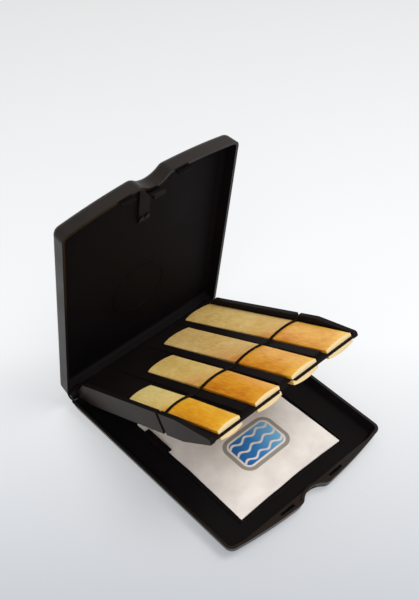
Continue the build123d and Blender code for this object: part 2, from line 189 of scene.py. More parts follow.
@dataclass(frozen=True)
class HingeFrame:
    """The hinge line and how far the tray and the lid stand open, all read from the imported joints."""

    pivot: Vector
    angles: Mapping[Opening, float]

    @classmethod
    def from_joints(cls, joints: Iterable[Mapping]) -> "HingeFrame":
        """Works the open angles out from how far each joint has to turn back to the shut case.

        Args:
            joints: The record's joints.

        Returns:
            The hinge's frame.
        """
        by_name = {joint["name"]: joint for joint in joints}
        tray = -radians(by_name["tray_hinge"]["range_deg"][0])
        lid = tray - radians(by_name["lid_hinge"]["range_deg"][0])
        pivot = Vector(by_name["tray_hinge"]["pos_m"])
        return cls(pivot, {Opening.BASE: 0.0, Opening.TRAY: tray, Opening.LID: lid})

    def matrix(self, part: Opening) -> Matrix:
        """The turn and shift from the shut case, drawn about the hinge, to a part's own place."""
        return Matrix.Translation(self.pivot) @ Matrix.Rotation(-self.angles[part], 4, "X")

    def shut_coordinates(self, add: Adder, part: Opening) -> Socket:
        """Object coordinates turned back to the shut case, in millimetres about the hinge.

        Args:
            add: Adds a node to the tree.
            part: The part of the case that the surface turns with.

        Returns:
            A vector socket: X along the hinge, -Y the distance in front of it, Z up.
        """
        return add("Mapping", {
            "Vector": add("TexCoord")["Object"],
            "Location": self.pivot,
            "Rotation": (-self.angles[part], 0.0, 0.0),
            "Scale": (MM, MM, MM),
        }, vector_type="TEXTURE")[0]


@dataclass(frozen=True)
class Finish(ABC):
    """A finish whose pattern keeps its place on the shut case, however far its part is turned."""

    name: str
    part: Opening

    def build(self, hinge: HingeFrame) -> Material:
        """Makes the material.

        Args:
            hinge: The frame that gives the pattern its place.

        Returns:
            The finished material.
        """
        material, add = new_material(self.name)
        place = hinge.shut_coordinates(add, self.part)
        shader = add("BsdfPrincipled", self.looks(add, place))[0]
        add("OutputMaterial", {"Surface": shader})
        return material

    @abstractmethod
    def looks(self, add: Adder, place: Socket) -> Mapping:
        """What the finish looks like.

        Args:
            add: Adds a node to the tree.
            place: The shut case's coordinates.

        Returns:
            The shader's inputs.
        """


@dataclass(frozen=True)
class MouldedAbs(Finish):
    """Injection-moulded ABS: near black all through, satin or matt from the tool's spark texture.

    A real spark texture is about 0.1 mm and wouldn't show, so it is drawn at texture_mm.
    """

    body: str
    lift: str
    roughness: tuple[float, float]
    specular: float
    sheen: str = "#ffeee2"
    texture_mm: float = 0.45
    texture_depth_mm: float = 0.012
    flow_mm: float = 24.0

    def looks(self, add: Adder, place: Socket) -> Mapping:
        """Near black with faint flow clouds and the tool's spark texture.

        Args:
            add: Adds a node to the tree.
            place: The shut case's coordinates.

        Returns:
            The shader's inputs.
        """
        broad = {"Vector": place, "Scale": 1 / self.flow_mm, "Detail": 4.0}
        flow = add("TexNoise", broad)[0]
        fine = {"Vector": place, "Scale": 1 / self.texture_mm, "Detail": 3.0}
        grain = add("TexNoise", fine)[0]
        colour = add("ValToRGB", {0: flow}, {0.35: self.body, 0.75: self.lift})[0]
        low, high = self.roughness
        spread = {"Value": flow, "From Min": 0.3, "From Max": 0.7, "To Min": low, "To Max": high}
        rough = add("MapRange", spread)[0]
        depth = self.texture_depth_mm * MM
        bump = add("Bump", {"Height": grain, "Strength": 1.0, "Distance": depth})[0]
        return {
            "Base Color": colour,
            "Roughness": rough,
            "Specular IOR Level": self.specular,
            "Specular Tint": linear(self.sheen),
            "IOR": 1.53,
            "Normal": bump,
        }


@dataclass(frozen=True)
class DrawnSteel(Finish):
    """Drawn steel wire: fine lines along the pin and a cool grey shine.

    Real drawing lines are about 0.02 mm and wouldn't show, so they are drawn at line_mm.
    """

    colour: str = "#b9bbbe"
    line_mm: float = 0.12
    line_depth_mm: float = 0.004
    line_stretch: float = 20.0

    def looks(self, add: Adder, place: Socket) -> Mapping:
        """Bare metal with fine lines drawn out along X.

        Args:
            add: Adds a node to the tree.
            place: The shut case's coordinates.

        Returns:
            The shader's inputs.
        """
        drawn = {0: place, 1: (1 / self.line_stretch, 1.0, 1.0)}
        along = add("VectorMath", drawn, operation="MULTIPLY")[0]
        lines = add("TexNoise", {"Vector": along, "Scale": 1 / self.line_mm, "Detail": 2.0})[0]
        rough = add("MapRange", {"Value": lines, "To Min": 0.22, "To Max": 0.42})[0]
        bump = add("Bump", {"Height": lines, "Distance": self.line_depth_mm * MM})[0]
        return {
            "Base Color": linear(self.colour),
            "Metallic": 1.0,
            "Roughness": rough,
            "Normal": bump,
        }


@dataclass(frozen=True)
class Cane(Finish):
    """Reed cane: a pale, planed vamp with short fibres, and the stem's golden, waxy bark behind it.

    Real fibres are about 0.2 mm wide and wouldn't show, so they are drawn at fibre_mm and fleck_mm.
    """

    pale: str
    straw: str
    blush: str
    honey: str
    gold: str
    amber: str
    centre_mm: float
    half_width_mm: float
    shoulder_mm: float
    arch_mm: float
    heel_mm: float
    fibre_mm: float = 0.42
    fibre_depth_mm: float = 0.05
    fleck_mm: float = 0.55
    cloud_mm: float = 7.0
    streak: float = 9.0
    cloud_streak: float = 1.6
    cloud_share: float = 0.45
    blush_reach_mm: float = 26.0
    light_end_mm: float = 7.0
    # How much lighter the bark is painted towards the far side, and darker towards the near side:
    # painted light and shade.
    painted_far_side_light: float = 0.1
    ragged_mm: float = 2.4
    edge_mm: tuple[float, float] = (0.7, 1.7)

    def drawn_out(
        self, add: Adder, place: Socket, size_mm: float, streak: float, detail: float
    ) -> Socket:
        """A pattern of the given grain, drawn out along the reed.

        Args:
            add: Adds a node to the tree.
            place: The shut case's coordinates.
            size_mm: The grain across the reed.
            streak: How many times longer the grain is along the reed.
            detail: How many finer layers it has.

        Returns:
            The pattern's value socket.
        """
        drawn = {0: place, 1: (1.0, 1 / streak, 1.0)}
        longer = add("VectorMath", drawn, operation="MULTIPLY")[0]
        inputs = {"Vector": longer, "Scale": 1 / size_mm, "Detail": detail, "Roughness": 0.6}
        return add("TexNoise", inputs)[0]

    def vamp(self, add: Adder, share: Socket, depth: Socket, fibres: Socket, clouds: Socket) -> Socket:
        """The planed wood's colour: straw with pale fibres, and a blush near the bark's edge.

        Args:
            add: Adds a node to the tree.
            share: Place across the reed, from -1 to 1.
            depth: Distance behind the bark's edge, in millimetres.
            fibres: The fine pattern.
            clouds: The broad pattern.

        Returns:
            The colour's socket.
        """
        blend = add("Mix", {0: self.cloud_share, 2: fibres, 3: clouds}, data_type="FLOAT")[0]
        wood = add("ValToRGB", {0: blend}, {0.38: self.straw, 0.6: self.pale})[0]
        reach = {"Value": depth, "From Max": self.blush_reach_mm, "To Min": 1.0, "To Max": 0.0}
        near = add("MapRange", reach)[0]
        lean = {"Value": share, "From Min": -1.0, "From Max": 0.6, "To Min": 1.0, "To Max": 0.15}
        side = add("MapRange", lean)[0]
        patch = add("MapRange", {"Value": clouds, "From Min": 0.36, "From Max": 0.62})[0]
        corner = add("Math", {0: near, 1: side}, operation="MULTIPLY")[0]
        mask = add("Math", {0: corner, 1: patch}, operation="MULTIPLY")[0]
        blushed = {0: mask, 6: wood, 7: linear(self.blush)}
        return add("Mix", blushed, data_type="RGBA")[2]

    def bark(self, add: Adder, share: Socket, heel: Socket, flecks: Socket, clouds: Socket) -> Socket:
        """The bark's colour: gold with short amber flecks, painted lighter towards the far side as
        light and darker towards the near side as shade, and lighter towards the heel.

        Args:
            add: Adds a node to the tree.
            share: Place across the reed, from -1 to 1.
            heel: Distance from the heel, in millimetres.
            flecks: The short, streaky pattern.
            clouds: The broad pattern.

        Returns:
            The colour's socket.
        """
        mottle = add("Mix", {0: self.cloud_share, 2: flecks, 3: clouds}, data_type="FLOAT")[0]
        # Painted light and shade: the bark is drawn lighter towards the reed's far side and darker
        # towards its near side.
        lifted = {0: share, 1: self.painted_far_side_light, 2: mottle}
        tilt = add("Math", lifted, operation="MULTIPLY_ADD")[0]
        light = {"Value": heel, "From Max": self.light_end_mm, "To Min": 0.1, "To Max": 0.0}
        end = add("MapRange", light)[0]
        value = add("Math", {0: tilt, 1: end}, operation="ADD")[0]
        stops = {0.28: self.amber, 0.5: self.gold, 0.72: self.honey}
        return add("ValToRGB", {0: value}, stops)[0]

    def looks(self, add: Adder, place: Socket) -> Mapping:
        """Bark and vamp, parted by the bark's arched edge across the reed.

        Args:
            add: Adds a node to the tree.
            place: The shut case's coordinates.

        Returns:
            The shader's inputs.
        """
        fibres = self.drawn_out(add, place, self.fibre_mm, self.streak, 4.0)
        flecks = self.drawn_out(add, place, self.fleck_mm, self.streak, 3.0)
        clouds = self.drawn_out(add, place, self.cloud_mm, self.cloud_streak, 3.0)
        split = add("SeparateXYZ", {0: place})
        across = add("Math", {0: split["X"], 1: self.centre_mm}, operation="SUBTRACT")[0]
        share = add("Math", {0: across, 1: self.half_width_mm}, operation="DIVIDE")[0]
        square = add("Math", {0: share, 1: share}, operation="MULTIPLY")[0]
        bow = {0: square, 1: -self.arch_mm, 2: self.shoulder_mm}
        arch = add("Math", bow, operation="MULTIPLY_ADD")[0]
        depth = add("Math", {0: arch, 1: split["Y"]}, operation="ADD")[0]
        heel = add("Math", {0: split["Y"], 1: self.heel_mm}, operation="ADD")[0]
        torn = {0: fibres, 1: self.ragged_mm, 2: depth}
        ragged = add("Math", torn, operation="MULTIPLY_ADD")[0]
        start, end = self.edge_mm
        cut = add("MapRange", {"Value": ragged, "From Min": start, "From Max": end})[0]
        vamp = self.vamp(add, share, depth, fibres, clouds)
        bark = self.bark(add, share, heel, flecks, clouds)
        colour = add("Mix", {0: cut, 6: bark, 7: vamp}, data_type="RGBA")[2]
        rough = add("MapRange", {"Value": cut, "To Min": 0.4, "To Max": 0.62})[0]
        rises = {"Height": fibres, "Strength": 0.8, "Distance": self.fibre_depth_mm * MM}
        bump = add("Bump", rises)[0]
        return {
            "Base Color": colour,
            "Roughness": rough,
            "IOR": 1.5,
            "Normal": bump,
        }


@dataclass(frozen=True)
class SawnCane(Finish):
    """Reed cane sawn across or planed flat: cream wood dotted with its dark fibre bundles.

    Real bundles are about 0.25 mm across and wouldn't show, so they are drawn at bundle_mm.
    """

    cream: str = "#ecd3a0"
    bundle: str = "#cb9d5c"
    bundle_mm: float = 0.42
    bundle_depth_mm: float = 0.03
    streak: float = 20.0

    def looks(self, add: Adder, place: Socket) -> Mapping:
        """Cream wood dotted with fibre bundles, drawn out along the reed.

        Args:
            add: Adds a node to the tree.
            place: The shut case's coordinates.

        Returns:
            The shader's inputs.
        """
        drawn = {0: place, 1: (1.0, 1 / self.streak, 1.0)}
        along = add("VectorMath", drawn, operation="MULTIPLY")[0]
        dots = add("TexVoronoi", {"Vector": along, "Scale": 1 / self.bundle_mm})["Distance"]
        colour = add("ValToRGB", {0: dots}, {0.05: self.bundle, 0.32: self.cream})[0]
        bump = add("Bump", {"Height": dots, "Distance": self.bundle_depth_mm * MM})[0]
        return {
            "Base Color": colour,
            "Roughness": 0.7,
            "Normal": bump,
        }


@dataclass(frozen=True)
class BraidedElastic(Finish):
    """Thin braided elastic: dark brown rubber ribs under black yarn, quite matt."""

    yarn: str = "#080504"
    rib: str = "#190f0b"
    rib_mm: float = 0.55
    rib_depth_mm: float = 0.06
    turns_per_scale: ClassVar[float] = 20.0

    def looks(self, add: Adder, place: Socket) -> Mapping:
        """Ribs across the band, with dark yarn between them.

        Args:
            add: Adds a node to the tree.
            place: The shut case's coordinates.

        Returns:
            The shader's inputs.
        """
        scale = 2 * pi / self.rib_mm / self.turns_per_scale
        rows = {"Vector": place, "Scale": scale, "Distortion": 0.6, "Detail": 1.0}
        ribs = add("TexWave", rows, bands_direction="X")["Fac"]
        colour = add("ValToRGB", {0: ribs}, {0.2: self.yarn, 0.9: self.rib})[0]
        bump = add("Bump", {"Height": ribs, "Distance": self.rib_depth_mm * MM})[0]
        return {
            "Base Color": colour,
            "Roughness": 0.85,
            "Specular IOR Level": 0.12,
            "Normal": bump,
        }


@dataclass(frozen=True)
class PouchFilm(Finish):
    """Coated kraft film, white and a little slack, printed with white waves on blue in a grey frame.

    Its real tooth is about 0.1 mm and wouldn't show, so it is drawn at tooth_mm.
    """

    white: str = "#eae6e3"
    shade: str = "#dcd6d4"
    deep: str = "#1c66ae"
    blue: str = "#2b83cc"
    sky: str = "#7cbbe6"
    grey: str = "#98928a"
    badge_x_mm: float = 1.7
    badge_s_mm: float = 82.0
    badge_half_x_mm: float = 15.5
    badge_half_s_mm: float = 11.0
    badge_corner_mm: float = 6.0
    frame_mm: float = 2.0
    field_inset_mm: float = 3.1
    print_blur_mm: float = 0.12
    wave_length_mm: float = 8.0
    wave_height_mm: float = 0.9
    wave_pitch_mm: float = 5.4
    wave_width_mm: float = 1.3
    cloud_mm: float = 11.11
    crease_mm: float = 7.0
    crease_depth_mm: float = 0.36
    crease_streak: float = 2.2222
    tooth_mm: float = 0.9091
    tooth_depth_mm: float = 0.05

    def edge_distance(self, add: Adder, x: Socket, s: Socket) -> Socket:
        """How far a point lies outside the badge's round-cornered outline.

        Args:
            add: Adds a node to the tree.
            x: Place across the badge, from its middle.
            s: Place along the badge, from its middle.

        Returns:
            The distance in millimetres; inside, it is negative and stops at the corners' radius.
        """
        corner = self.badge_corner_mm
        spot = add("CombineXYZ", {"X": x, "Y": s})[0]
        size = add("VectorMath", {0: spot}, operation="ABSOLUTE")[0]
        straight = (self.badge_half_x_mm - corner, self.badge_half_s_mm - corner, 0.0)
        past = add("VectorMath", {0: size, 1: straight}, operation="SUBTRACT")[0]
        outer = add("VectorMath", {0: past, 1: (0.0, 0.0, 0.0)}, operation="MAXIMUM")[0]
        away = add("VectorMath", {0: outer}, operation="LENGTH")["Value"]
        return add("Math", {0: away, 1: corner}, operation="SUBTRACT")[0]

    def below(self, add: Adder, value: Socket, limit: float) -> Socket:
        """A mask that is 1 where a value is under a limit, with a soft printed edge.

        Args:
            add: Adds a node to the tree.
            value: The value in millimetres.
            limit: The limit in millimetres.

        Returns:
            The mask's socket.
        """
        ends = {"From Min": limit - self.print_blur_mm, "From Max": limit + self.print_blur_mm}
        return add("MapRange", {"Value": value, **ends, "To Min": 1.0, "To Max": 0.0})[0]

    def print_badge(self, add: Adder, place: Socket, paper: Socket) -> Socket:
        """Prints the frame, the blue field and the waves on it.

        Args:
            add: Adds a node to the tree.
            place: The shut case's coordinates.
            paper: The film's own colour.

        Returns:
            The printed colour's socket.
        """
        split = add("SeparateXYZ", {0: place})
        x = add("Math", {0: split["X"], 1: self.badge_x_mm}, operation="SUBTRACT")[0]
        s = add("Math", {0: split["Y"], 1: self.badge_s_mm}, operation="ADD")[0]
        edge = self.edge_distance(add, x, s)
        middle = add("Math", {0: edge, 1: self.frame_mm / 2}, operation="ADD")[0]
        line = add("Math", {0: middle}, operation="ABSOLUTE")[0]
        frame = self.below(add, line, self.frame_mm / 2)
        field = self.below(add, edge, -self.field_inset_mm)
        turns = {0: x, 1: 2 * pi / self.wave_length_mm}
        turn = add("Math", turns, operation="MULTIPLY")[0]
        swing = add("Math", {0: turn}, operation="SINE")[0]
        raised = {0: swing, 1: self.wave_height_mm, 2: s}
        wavy = add("Math", raised, operation="MULTIPLY_ADD")[0]
        folded = add("Math", {0: wavy, 1: self.wave_pitch_mm / 2}, operation="PINGPONG")[0]
        crest = self.below(add, folded, self.wave_width_mm / 2)
        waves = add("Math", {0: crest, 1: field}, operation="MULTIPLY")[0]
        ends = {"Value": x, "From Min": -self.badge_half_x_mm, "From Max": self.badge_half_x_mm}
        sweep = add("MapRange", ends)[0]
        blues = {0.15: self.deep, 0.45: self.blue, 0.9: self.sky}
        water = add("ValToRGB", {0: sweep}, blues)[0]
        printed = paper
        for mask, ink in ((frame, linear(self.grey)), (field, water), (waves, paper)):
            printed = add("Mix", {0: mask, 6: printed, 7: ink}, data_type="RGBA")[2]
        return printed

    def looks(self, add: Adder, place: Socket) -> Mapping:
        """White film with soft creases and the printed badge.

        Args:
            add: Adds a node to the tree.
            place: The shut case's coordinates.

        Returns:
            The shader's inputs.
        """
        broad = {"Vector": place, "Scale": 1 / self.cloud_mm, "Detail": 4.0}
        clouds = add("TexNoise", broad)[0]
        paper = add("ValToRGB", {0: clouds}, {0.35: self.shade, 0.62: self.white})[0]
        printed = self.print_badge(add, place, paper)
        rough = {"Vector": place, "Scale": 1 / self.tooth_mm, "Detail": 5.0}
        tooth = add("TexNoise", rough)[0]
        drawn = {0: place, 1: (1.0, 1 / self.crease_streak, 1.0)}
        along = add("VectorMath", drawn, operation="MULTIPLY")[0]
        folds = {"Vector": along, "Scale": 1 / self.crease_mm, "Detail": 2.0, "Distortion": 1.4}
        creases = add("TexNoise", folds)[0]
        deep = {"Height": creases, "Strength": 0.5, "Distance": self.crease_depth_mm * MM}
        slack = add("Bump", deep)[0]
        fine = {"Height": tooth, "Strength": 0.6, "Distance": self.tooth_depth_mm * MM, "Normal": slack}
        bump = add("Bump", fine)[0]
        return {
            "Base Color": printed,
            "Roughness": 0.5,
            "Specular IOR Level": 0.4,
            "Normal": bump,
        }


def select_only(piece: Piece) -> None:
    """Deselects everything, then selects one piece and makes it active.

    Args:
        piece: The piece.
    """
    bpy.ops.object.select_all(action="DESELECT")
    piece.select_set(True)
    bpy.context.view_layer.objects.active = piece


def apply_modifiers(piece: Piece) -> None:
    """Applies every modifier of a piece, in order.

    Args:
        piece: The piece.
    """
    select_only(piece)
    for modifier in list(piece.modifiers):
        bpy.ops.object.modifier_apply(modifier=modifier.name)


def smooth(piece: Piece, angle: float) -> None:
    """Shades a piece smooth, but for edges sharper than an angle in degrees."""
    select_only(piece)
    bpy.ops.object.shade_smooth_by_angle(angle=radians(angle))


def paint(piece: Piece, *materials: Material) -> None:
    """Gives a piece material slots in place of its own.

    Args:
        piece: The piece.
        materials: Its materials, in the order of the slots.
    """
    piece.data.materials.clear()
    for material in materials:
        piece.data.materials.append(material)


def seat(piece: Piece, place: Matrix) -> None:
    """Moves a piece's mesh to its place, and leaves its object at the origin."""
    piece.data.transform(place @ piece.matrix_world)
    piece.matrix_world = Matrix.Identity(4)


def round_edges(piece: Piece, width: float, angle: float) -> None:
    """Rounds a piece's edges.

    Args:
        piece: The piece.
        width: The rounding's width, in metres.
        angle: How sharp an edge has to be, in degrees.
    """
    bevel = piece.modifiers.new("rounded_edges", "BEVEL")
    bevel.width = width
    bevel.segments = 2
    bevel.limit_method = "ANGLE"
    bevel.angle_limit = radians(angle)
    apply_modifiers(piece)


def new_grid(name: str, columns: int, rows: int) -> Piece:
    """Adds a flat grid that reaches from -1 to 1 both ways.

    Args:
        name: The piece's name.
        columns: Its faces along X.
        rows: Its faces along Y.

    Returns:
        The grid.
    """
    bpy.ops.object.select_all(action="DESELECT")
    bpy.ops.mesh.primitive_grid_add(x_subdivisions=columns, y_subdivisions=rows, size=2.0)
    grid = bpy.context.active_object
    grid.name = name
    return grid


def close_below(piece: Piece, floor: float) -> None:
    """Gives an open surface upright sides and one flat underside.

    Args:
        piece: The surface.
        floor: The underside's height.
    """
    select_only(piece)
    bpy.ops.object.mode_set(mode="EDIT")
    bpy.ops.mesh.select_all(action="SELECT")
    bpy.ops.mesh.extrude_region_move(TRANSFORM_OT_translate={"value": (0.0, 0.0, -MM)})
    bpy.ops.object.mode_set(mode="OBJECT")
    for vertex in piece.data.vertices:
        if vertex.select:
            vertex.co.z = floor
    bpy.ops.object.mode_set(mode="EDIT")
    bpy.ops.mesh.dissolve_faces()
    bpy.ops.mesh.select_all(action="SELECT")
    bpy.ops.mesh.normals_make_consistent(inside=False)
    bpy.ops.object.mode_set(mode="OBJECT")


def softened_copy(node: Piece, name: str, edge: float) -> Piece:
    """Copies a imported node, joins its loose triangles and rounds its sharp edges.

    Args:
        node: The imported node, which is left alone.
        name: The copy's name.
        edge: The rounding's width, in metres.

    Returns:
        The copy, riding on nothing yet.
    """
    copy = bpy.data.objects.new(name, node.data.copy())
    bpy.context.scene.collection.objects.link(copy)
    select_only(copy)
    if copy.data.has_custom_normals:
        bpy.ops.mesh.customdata_custom_splitnormals_clear()
    bpy.ops.object.mode_set(mode="EDIT")
    bpy.ops.mesh.select_all(action="SELECT")
    bpy.ops.mesh.remove_doubles(threshold=JOIN_WITHIN)
    bpy.ops.mesh.dissolve_limited(angle_limit=radians(FLAT_WITHIN))
    bpy.ops.object.mode_set(mode="OBJECT")
    round_edges(copy, edge, SHARP_FROM)
    smooth(copy, SMOOTH_TO)
    even = copy.modifiers.new("flat_faces", "WEIGHTED_NORMAL")
    even.mode = "FACE_AREA"
    even.keep_sharp = True
    apply_modifiers(copy)
    return copy


@dataclass(frozen=True)
class SoftLamp:
    """A square soft lamp: its name, place and side in metres, power in watts and colour."""

    name: str
    place: Point
    size: float
    power: float
    colour: str


@dataclass
class Studio:
    """Camera at the photograph's angle, a pale floor and soft lamps."""

    # The floor's glow is painted darker, down to a deep blue, in a band in front of the case: a painted
    # shade that darkens the floor towards the bottom of the view.
    floor_glow_with_painted_shade: ClassVar[Mapping[float, str]] = {
        0.0: "#a9a9a8",
        0.41: "#0e1c38",
        0.62: "#c0c0be",
        1.0: "#aaa7a3",
    }
    lamps: ClassVar[tuple[SoftLamp, ...]] = (
        SoftLamp("key", (0.3, -0.3, 1.0), 0.5, 6.0, "#fffaf2"),
        SoftLamp("fill", (-0.6, -0.55, 0.8), 0.7, 2.8, "#fffaf4"),
    )
    aim: Point = (26.5 * MM, 37.2 * MM, 40.2 * MM)
    distance: float = 500 * MM
    azimuth: float = -41.5
    elevation: float = 44.83
    roll: float = -1.26
    lens: float = 59.87
    floor_side: float = 8.0
    floor_height: float = -0.02 * MM
    card: str = "#a6aab0"
    walls: str = "#f4f6f8"
    backdrop: str = "#eef0f3"
    room: float = 0.68
    near_end: float = -0.6
    far_end: float = 0.45

    def camera(self) -> None:
        """Sets up the camera."""
        data = bpy.data.cameras.new("camera")
        data.sensor_fit = "AUTO"
        data.sensor_width = 36.0
        data.lens = self.lens
        data.clip_start = 0.01
        camera = bpy.data.objects.new("camera", data)
        bpy.context.scene.collection.objects.link(camera)
        turn = Matrix.Rotation(radians(self.azimuth), 4, "Z")
        tilt = Matrix.Rotation(radians(90 - self.elevation), 4, "X")
        back = Matrix.Translation((0, 0, self.distance))
        roll = Matrix.Rotation(radians(self.roll), 4, "Z")
        camera.matrix_world = Matrix.Translation(self.aim) @ turn @ tilt @ back @ roll
        bpy.context.scene.camera = camera

    def hang(self, lamp: SoftLamp) -> None:
        """Hangs a lamp and aims it at the case.

        Args:
            lamp: The lamp.
        """
        data = bpy.data.lights.new(lamp.name, "AREA")
        data.shape = "SQUARE"
        data.size = lamp.size
        data.energy = lamp.power
        data.color = linear(lamp.colour)[:3]
        light = bpy.data.objects.new(lamp.name, data)
        bpy.context.scene.collection.objects.link(light)
        light.location = lamp.place
        sight = Vector(self.aim) - Vector(lamp.place)
        light.rotation_euler = sight.to_track_quat("-Z", "Y").to_euler()

    def seen(self, add: Adder) -> Socket:
        """Where a ray from the eye, a reflection or a transmission looks at the background.

        Args:
            add: Adds a node to the tree.

        Returns:
            A value of 1 for those rays.
        """
        path = add("LightPath")
        eye_or_gloss = {0: path["Is Camera Ray"], 1: path["Is Glossy Ray"]}
        either = add("Math", eye_or_gloss, operation="MAXIMUM")[0]
        return add("Math", {0: either, 1: path["Is Transmission Ray"]}, operation="MAXIMUM")[0]

    def floor(self) -> None:
        """Lays the pale floor, which takes the case's soft shadow; its glow is painted darker in a band
        in front of the case, a painted shade towards the bottom of the view.
        """
        bpy.ops.object.select_all(action="DESELECT")
        bpy.ops.mesh.primitive_plane_add(size=self.floor_side, location=(0.0, 0.0, self.floor_height))
        plane = bpy.context.active_object
        plane.name = "floor"
        material, add = new_material("pale_card")
        card = add("BsdfDiffuse", {"Color": linear(self.card)})[0]
        place = add("TexCoord")["Object"]
        away = (-sin(radians(self.azimuth)), cos(radians(self.azimuth)), 0.0)
        depth = add("VectorMath", {0: place, 1: away}, operation="DOT_PRODUCT")["Value"]
        span = {"Value": depth, "From Min": self.near_end, "From Max": self.far_end}
        shade = add("ValToRGB", {0: add("MapRange", span)[0]}, self.floor_glow_with_painted_shade)[0]
        glow = add("Emission", {"Color": shade, "Strength": self.seen(add)})[0]
        both = add("AddShader", {0: card, 1: glow})[0]
        add("OutputMaterial", {"Surface": both})
        paint(plane, material)
        plane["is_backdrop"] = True

    def world(self) -> None:
        """Fills the studio with even, pale light, and shows a nearly white backdrop."""
        world = bpy.data.worlds.new("studio")
        world.use_nodes = True
        world.node_tree.nodes.clear()
        add = partial(add_node, world.node_tree)
        room = add("Background", {"Color": linear(self.walls), "Strength": self.room})[0]
        backdrop = add("Background", {"Color": linear(self.backdrop), "Strength": 1.0})[0]
        mixed = add("MixShader", {0: self.seen(add), 1: room, 2: backdrop})[0]
        add("OutputWorld", {"Surface": mixed})
        bpy.context.scene.world = world

    def build(self) -> None:
        """Sets up everything that isn't part of the case."""
        bpy.context.scene.view_settings.view_transform = "Standard"
        self.camera()
        self.floor()
        self.world()
        for lamp in self.lamps:
            self.hang(lamp)


@dataclass
class Plastics:
    """The two shells, the tray and the latch, with softened edges and moulded finishes."""

    frame: Mapping
    hinge: HingeFrame
    edge: float = 0.25 * MM
    heart_height: float = 1.0 * MM
    rim_slack: float = 0.1 * MM
    rail_depth: float = 1.2 * MM
    rail_turn: float = 0.6
    knuckle: float = 2.6 * MM
    knuckle_slack: float = 0.02 * MM
    base_fuller: float = 0.1 * MM
    tray_fuller: float = 0.3 * MM

    def finishes(self) -> dict[str, tuple[Material, ...]]:
        """Makes the finishes: the shells are satin outside and matt inside, the tray has satin rails.
        The shells' matt copy is painted darker, a painted shade in their hollows, and the tray's satin
        copy is painted lighter and warmer, a painted light on its rails' outer sides.

        Returns:
            Materials by CAD node; a second one is for the matt faces.
        """
        # Painted shade: the shells' matt copy is darker than their satin one. Painted light: the tray's
        # rails are lighter and warmer than its plate.
        satin = {"body": "#130f0d", "lift": "#1b1512", "roughness": (0.32, 0.44), "specular": 0.22}
        matt = {"body": "#0c0a0d", "lift": "#110f11", "roughness": (0.6, 0.7), "specular": 0.06}
        painted_lit_rail = {"body": "#1d1513", "lift": "#281d19", "roughness": (0.38, 0.5), "specular": 0.16}
        plate = {"body": "#120e0f", "lift": "#191314", "roughness": (0.55, 0.68), "specular": 0.07}
        latch = {"body": "#0d0c0e", "lift": "#131113", "roughness": (0.5, 0.6), "specular": 0.1}
        skins = {}
        for part, outside, inside in (
            (Opening.BASE, satin, matt),
            (Opening.LID, satin, matt),
            (Opening.TRAY, painted_lit_rail, plate),
        ):
            skins[part] = (
                MouldedAbs(f"satin_lit_abs_{part.value}", part, **outside).build(self.hinge),
                MouldedAbs(f"matt_shaded_abs_{part.value}", part, **inside).build(self.hinge),
            )
        acetal = MouldedAbs("moulded_acetal_latch", Opening.LID, **latch).build(self.hinge)
        return {
            "base_shell": skins[Opening.BASE],
            "lid_shell": skins[Opening.LID],
            "tray_frame": skins[Opening.TRAY],
            "latch_spring": (acetal,),
            "latch_tongue": (acetal,),
        }

    def mark_hollow(self, piece: Piece, part: Opening) -> None:
        """Gives the faces that look into a shell's hollow the second finish, which is painted darker as
        shade.

        Args:
            piece: The shell's moulding.
            part: Which shell it is.
        """
        turn = self.hinge.matrix(part).inverted()
        reach = min((turn @ vertex.co).y for vertex in piece.data.vertices)
        side = -1 if part is Opening.BASE else 1
        heart = turn.inverted() @ Vector((0.0, reach / 2, side * self.heart_height))
        for polygon in piece.data.polygons:
            beyond_rim = side * (turn @ polygon.center).z < -self.rim_slack
            inward = polygon.normal.dot(heart - polygon.center) > 0
            polygon.material_index = 1 if inward or beyond_rim else 0

    def mark_plate(self, piece: Piece) -> None:
        """Gives all the tray's faces but its rails' outer sides the second finish, so that only those
        sides keep the painted lighter, warmer colour.

        Args:
            piece: The tray's moulding.
        """
        side = max(vertex.co.x for vertex in piece.data.vertices) - self.rail_depth
        for polygon in piece.data.polygons:
            outer = abs(polygon.normal.x) > self.rail_turn and polygon.normal.x * polygon.center.x > 0
            polygon.material_index = 0 if outer and abs(polygon.center.x) > side else 1

    def fill_knuckles(self, piece: Piece, fuller: float) -> None:
        """Draws a moulding's knuckles a little fuller, so that their running gap lets no light through.

        Args:
            piece: The base's or the tray's moulding.
            fuller: How much is added to their radius.
        """
        for vertex in piece.data.vertices:
            arm = vertex.co - self.hinge.pivot
            arm.x = 0.0
            if abs(arm.length - self.knuckle) < self.knuckle_slack:
                vertex.co += arm.normalized() * fuller

    def build(self) -> None:
        """Replaces each plain moulding by its softened copy."""
        bodies = {
            "base_shell": "base",
            "lid_shell": "lid",
            "tray_frame": "tray",
            "latch_spring": "lid",
            "latch_tongue": "latch",
        }
        for node, materials in self.finishes().items():
            piece = softened_copy(self.frame["nodes"][node], f"{node}_moulding", self.edge)
            paint(piece, *materials)
            if node == "base_shell":
                self.mark_hollow(piece, Opening.BASE)
                self.fill_knuckles(piece, self.base_fuller)
            if node == "lid_shell":
                self.mark_hollow(piece, Opening.LID)
            if node == "tray_frame":
                self.mark_plate(piece)
                self.fill_knuckles(piece, self.tray_fuller)
            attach(piece, bodies[node])
            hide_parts(node)
            log.info("%s: %d faces", piece.name, len(piece.data.polygons))


